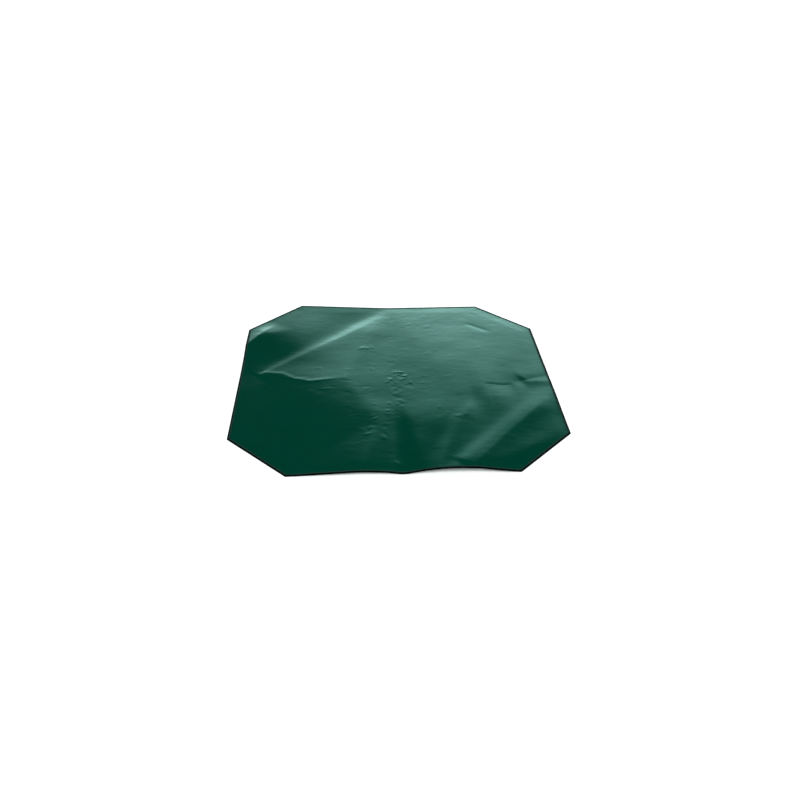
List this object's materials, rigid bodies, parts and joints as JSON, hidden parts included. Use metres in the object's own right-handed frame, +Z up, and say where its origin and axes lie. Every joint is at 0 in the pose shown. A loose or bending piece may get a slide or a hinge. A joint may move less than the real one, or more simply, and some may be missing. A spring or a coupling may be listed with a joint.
{
  "type": "soft spa cover",
  "caption": "Soft green vinyl spa cover, square with cut-off corners, thin foam between vinyl skins, bound edges and a fold across its middle, lying creased on the ground.",
  "frame": {"origin": "middle of the cover's octagonal outline, on the ground plane that it lies on", "axes": "+Z up, +Y towards the back edge, +X towards the right edge; the fold line is parallel to Y at X = 0"},
  "size_m": [1.651, 1.651, 0.0403],
  "materials": {
    "top_vinyl": "glossy coated vinyl sheet, dark bottle green, with a fine grain and soft creases",
    "bottom_vinyl": "semi-gloss coated vinyl sheet, dark green, a shade duller than the top",
    "binding_tape": "semi-gloss folded vinyl tape, dark green",
    "foam": "matt closed-cell polyethylene foam, off-white",
    "thread": "bonded polyester sewing thread, dark green"
  },
  "bodies": {
    "left_half": {"top_skin_left": "top_vinyl", "foam_panel_left": "foam", "bottom_skin_left": "bottom_vinyl", "binding_front_left": "binding_tape", "binding_front_left_corner": "binding_tape", "binding_left": "binding_tape", "binding_back_left_corner": "binding_tape", "binding_back_left": "binding_tape", "stitching_left": "thread"},
    "right_half": {"top_skin_right": "top_vinyl", "foam_panel_right": "foam", "bottom_skin_right": "bottom_vinyl", "binding_front_right": "binding_tape", "binding_front_right_corner": "binding_tape", "binding_right": "binding_tape", "binding_back_right_corner": "binding_tape", "binding_back_right": "binding_tape", "stitching_right": "thread"}
  },
  "joints": [
    {"name": "centre_fold", "type": "hinge", "parent": "left_half", "child": "right_half", "pos_m": [0, 0, 0.0144], "axis": [0, -1, 0], "range_deg": [0, 165]}
  ]
}
